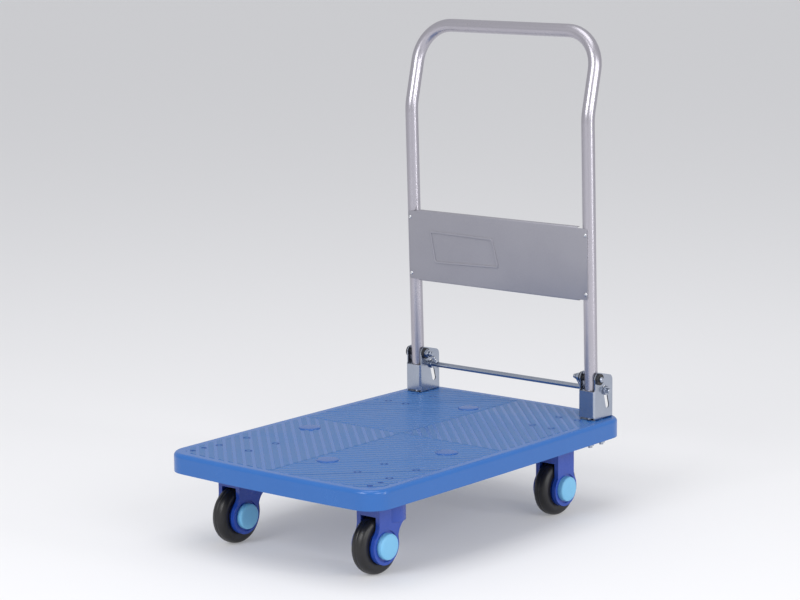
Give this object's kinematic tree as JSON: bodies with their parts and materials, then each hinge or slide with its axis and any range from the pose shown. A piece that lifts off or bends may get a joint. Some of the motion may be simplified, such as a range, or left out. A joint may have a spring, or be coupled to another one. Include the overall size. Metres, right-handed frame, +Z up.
{
  "type": "platform_cart",
  "caption": "Blue plastic platform cart with a folding tubular steel push handle, grey panel, two swivel and two fixed casters",
  "frame": {"origin": "on the floor under the middle of the deck", "axes": "+X across the deck to its right side, +Y along the deck towards the push handle, +Z up"},
  "size_m": [0.6, 0.9, 1.0965],
  "materials": {
    "deck_plastic": "moulded polypropylene, mid blue",
    "fork_plastic": "moulded nylon, deep blue",
    "cap_plastic": "moulded polypropylene, light blue",
    "tyre_rubber": "black thermoplastic rubber",
    "handle_coat": "steel tube, silver grey powder coat",
    "panel_coat": "sheet steel, grey paint",
    "zinc_steel": "bright zinc-plated steel",
    "spring_steel": "polished bearing and spring steel",
    "aluminium_rivet": "aluminium blind rivets",
    "black_plastic": "black nylon"
  },
  "bodies": {
    "chassis": {"deck": "deck_plastic", "handle_bracket_left": "zinc_steel", "handle_bracket_right": "zinc_steel", "bracket_bolts": "zinc_steel", "bracket_washers": "zinc_steel", "bracket_nuts": "zinc_steel", "pivot_bushes_outer": "black_plastic", "pivot_bushes_inner": "black_plastic", "pivot_bolts": "zinc_steel", "pivot_washers": "zinc_steel", "pivot_nuts": "zinc_steel", "release_spring_left": "spring_steel", "release_spring_right": "spring_steel", "swivel_plate_left": "zinc_steel", "swivel_plate_right": "zinc_steel", "upper_races": "zinc_steel", "swivel_balls": "spring_steel", "king_pins": "zinc_steel", "front_caster_bolts": "zinc_steel", "rear_fork_left": "fork_plastic", "rear_fork_right": "fork_plastic", "rear_plate_left": "zinc_steel", "rear_plate_right": "zinc_steel", "rear_caster_bolts": "zinc_steel", "rear_axle_left": "zinc_steel", "rear_axle_right": "zinc_steel", "rear_axle_caps_left": "cap_plastic", "rear_axle_caps_right": "cap_plastic"},
    "handle": {"handle_tube": "handle_coat", "handle_sleeves": "black_plastic", "handle_panel": "panel_coat", "panel_rivets": "aluminium_rivet"},
    "release": {"release_bar": "zinc_steel", "release_washers": "zinc_steel", "release_nuts": "zinc_steel"},
    "caster_left": {"swivel_fork_left": "fork_plastic", "lower_race_left": "zinc_steel", "front_axle_left": "zinc_steel", "front_axle_caps_left": "cap_plastic"},
    "caster_right": {"swivel_fork_right": "fork_plastic", "lower_race_right": "zinc_steel", "front_axle_right": "zinc_steel", "front_axle_caps_right": "cap_plastic"},
    "wheel_front_left": {"tyre_front_left": "tyre_rubber", "wheel_core_front_left": "fork_plastic", "wheel_bearings_front_left": "spring_steel"},
    "wheel_front_right": {"tyre_front_right": "tyre_rubber", "wheel_core_front_right": "fork_plastic", "wheel_bearings_front_right": "spring_steel"},
    "wheel_rear_left": {"tyre_rear_left": "tyre_rubber", "wheel_core_rear_left": "fork_plastic", "wheel_bearings_rear_left": "spring_steel"},
    "wheel_rear_right": {"tyre_rear_right": "tyre_rubber", "wheel_core_rear_right": "fork_plastic", "wheel_bearings_rear_right": "spring_steel"}
  },
  "joints": [
    {"name": "handle_fold", "type": "hinge", "parent": "chassis", "child": "handle", "pos_m": [0, 0.368, 0.305], "axis": [1, 0, 0], "range_deg": [0, 95]},
    {"name": "release_slide", "type": "slide", "parent": "chassis", "child": "release", "axis": [0, 0.2538, -0.9673], "range_m": [0, 0.036], "stiffness_N_per_m": 1500, "springref_m": -0.01, "deforming": ["release_spring_left", "release_spring_right"]},
    {"name": "caster_left_swivel", "type": "hinge", "parent": "chassis", "child": "caster_left", "pos_m": [-0.1978, -0.285, 0.15], "axis": [0, 0, 1], "continuous": true},
    {"name": "caster_right_swivel", "type": "hinge", "parent": "chassis", "child": "caster_right", "pos_m": [0.1978, -0.285, 0.15], "axis": [0, 0, 1], "continuous": true},
    {"name": "wheel_front_left_spin", "type": "hinge", "parent": "caster_left", "child": "wheel_front_left", "pos_m": [-0.1978, -0.3247, 0.0635], "axis": [1, 0, 0], "continuous": true},
    {"name": "wheel_front_right_spin", "type": "hinge", "parent": "caster_right", "child": "wheel_front_right", "pos_m": [0.1978, -0.3247, 0.0635], "axis": [1, 0, 0], "continuous": true},
    {"name": "wheel_rear_left_spin", "type": "hinge", "parent": "chassis", "child": "wheel_rear_left", "pos_m": [-0.21, 0.2883, 0.0635], "axis": [1, 0, 0], "continuous": true},
    {"name": "wheel_rear_right_spin", "type": "hinge", "parent": "chassis", "child": "wheel_rear_right", "pos_m": [0.21, 0.2883, 0.0635], "axis": [1, 0, 0], "continuous": true}
  ],
  "couplings": [
    {"joint": "release_slide", "follows": "handle_fold", "m_per_rad": 0.02171}
  ]
}
